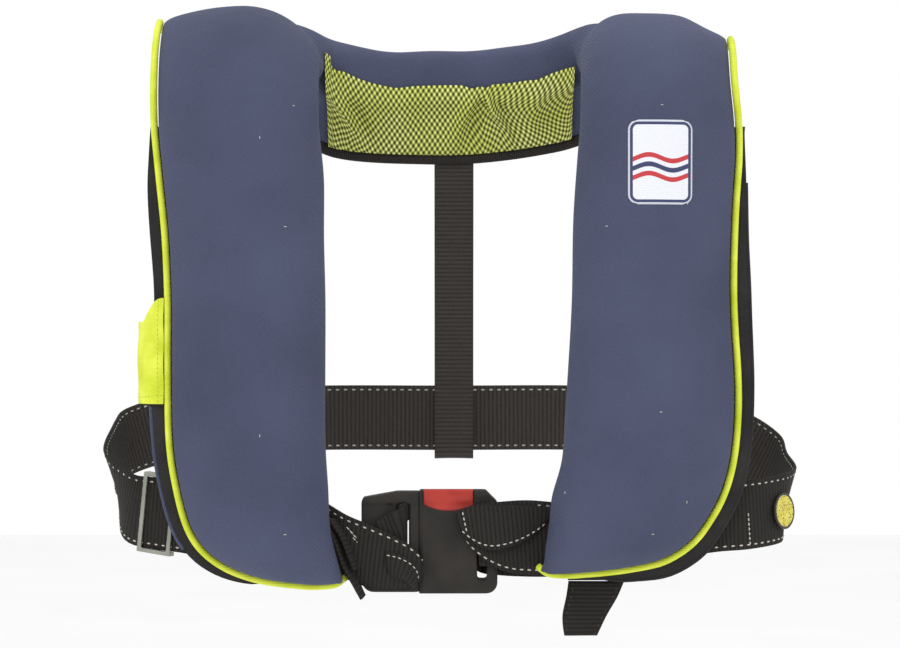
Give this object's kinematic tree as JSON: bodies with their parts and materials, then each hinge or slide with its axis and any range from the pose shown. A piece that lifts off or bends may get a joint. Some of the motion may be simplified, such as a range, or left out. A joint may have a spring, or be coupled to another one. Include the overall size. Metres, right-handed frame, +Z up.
{
  "type": "inflatable life jacket",
  "caption": "Inflatable life jacket with padded front lobes, a mesh-lined collar, a waist belt with a push-button buckle, and an inflator packed inside.",
  "frame": {"origin": "where the collar rests on the wearer's neck, on the middle plane", "axes": "+X to the wearer's left, +Y to the wearer's back, +Z up"},
  "size_m": [0.5094, 0.2203, 0.4562],
  "materials": {
    "navy_fabric": "matte woven cover fabric",
    "black_fabric": "black backing fabric",
    "lime_trim": "fluorescent piping and flap",
    "mesh": "lime lining under black diamond mesh",
    "webbing": "ribbed black webbing with white stitching",
    "bladder": "coated bladder fabric",
    "reflective": "reflective tape",
    "hook_tape": "hook and loop tape",
    "buckle_plastic": "fine moulded texture",
    "button_plastic": "red, slightly worn",
    "steel": "dull grey-green metal",
    "spring_steel": "bright wire",
    "cylinder_paint": "zinc grey",
    "fitting_plastic": "black moulded",
    "inflator_plastic": "yellow moulded",
    "lever_plastic": "red moulded",
    "whistle_plastic": "orange moulded",
    "patch": "white woven patch with a navy edge and plain stripes",
    "label": "yellow dotted disc with a dark rim"
  },
  "bodies": {
    "back": {"collar_cover": "navy_fabric", "collar_bladder": "bladder", "collar_piping": "lime_trim", "mesh_lining": "mesh", "mesh_binding": "black_fabric", "back_strap": "webbing", "waist_belt_back": "webbing"},
    "front": {"cover_right": "navy_fabric", "cover_left": "navy_fabric", "back_panel_right": "black_fabric", "back_panel_left": "black_fabric", "piping_right": "lime_trim", "piping_left": "lime_trim", "panel_binding_right": "navy_fabric", "panel_binding_left": "black_fabric", "bladder_right": "bladder", "bladder_left": "bladder", "shoulder_roll_right": "bladder", "shoulder_roll_left": "bladder", "reflective_patch_right": "reflective", "reflective_patch_left": "reflective", "hook_strip_right": "hook_tape", "hook_strip_left": "hook_tape", "loop_strip_right": "hook_tape", "loop_strip_left": "hook_tape", "inflator_body": "inflator_plastic", "lever_pin": "steel", "co2_cylinder": "cylinder_paint", "oral_tube": "fitting_plastic", "oral_valve_spring": "spring_steel", "whistle": "whistle_plastic", "lifting_becket": "webbing", "waist_belt_right": "webbing", "waist_belt_left": "webbing", "belt_loop_right": "webbing", "belt_loop_left": "webbing", "crotch_strap_loop": "webbing", "buckle_front_shell": "buckle_plastic", "buckle_rear_shell": "buckle_plastic", "latch_spring": "spring_steel", "chest_patch": "patch", "belt_label": "label"},
    "tongue": {"buckle_tongue": "buckle_plastic", "tongue_webbing": "webbing"},
    "button": {"release_button": "button_plastic", "latch_plate": "steel"},
    "flap": {"access_flap": "lime_trim"},
    "slider": {"strap_slider": "steel"},
    "lever": {"firing_lever": "lever_plastic"},
    "striker": {"firing_pin": "steel"},
    "oral_valve_poppet": {"oral_valve": "lever_plastic"},
    "cap": {"oral_cap": "fitting_plastic"},
    "crotch_tail": {"crotch_strap": "webbing"}
  },
  "joints": [
    {"name": "shoulder_fold", "type": "hinge", "parent": "back", "child": "front", "pos_m": [0, -0.008, 0.025], "axis": [1, 0, 0], "range_deg": [-14, 6]},
    {"name": "buckle_release", "type": "slide", "parent": "front", "child": "tongue", "axis": [-1, 0, 0], "range_m": [0, 0.026]},
    {"name": "button_press", "type": "slide", "parent": "front", "child": "button", "axis": [0, 0, -1], "range_m": [0, 0.004], "stiffness_N_per_m": 800, "springref_m": -0.002, "deforming": ["latch_spring"]},
    {"name": "flap_open", "type": "hinge", "parent": "front", "child": "flap", "pos_m": [-0.2066, -0.0686, -0.2025], "axis": [0, 0, 1], "range_deg": [0, 110]},
    {"name": "slider_slide", "type": "slide", "parent": "front", "child": "slider", "axis": [0.8841, -0.4534, -0.1133], "range_m": [-0.006, 0.006]},
    {"name": "lever_pull", "type": "hinge", "parent": "front", "child": "lever", "pos_m": [-0.143, -0.0855, -0.262], "axis": [0, -1, 0], "range_deg": [0, 80]},
    {"name": "pin_strike", "type": "slide", "parent": "front", "child": "striker", "axis": [0, 0, 1], "range_m": [0, 0.0041]},
    {"name": "oral_valve_press", "type": "slide", "parent": "front", "child": "oral_valve_poppet", "axis": [0, 0, -1], "range_m": [0, 0.004], "stiffness_N_per_m": 200, "springref_m": -0.002, "deforming": ["oral_valve_spring"]},
    {"name": "cap_pull", "type": "slide", "parent": "front", "child": "cap", "axis": [0, 0, 1], "range_m": [0, 0.014]},
    {"name": "crotch_swing", "type": "hinge", "parent": "front", "child": "crotch_tail", "pos_m": [0.105, -0.052, -0.367], "axis": [1, 0, 0], "range_deg": [-40, 40]}
  ],
  "couplings": [
    {"joint": "pin_strike", "follows": "lever_pull", "m_per_rad": 0.002865}
  ]
}
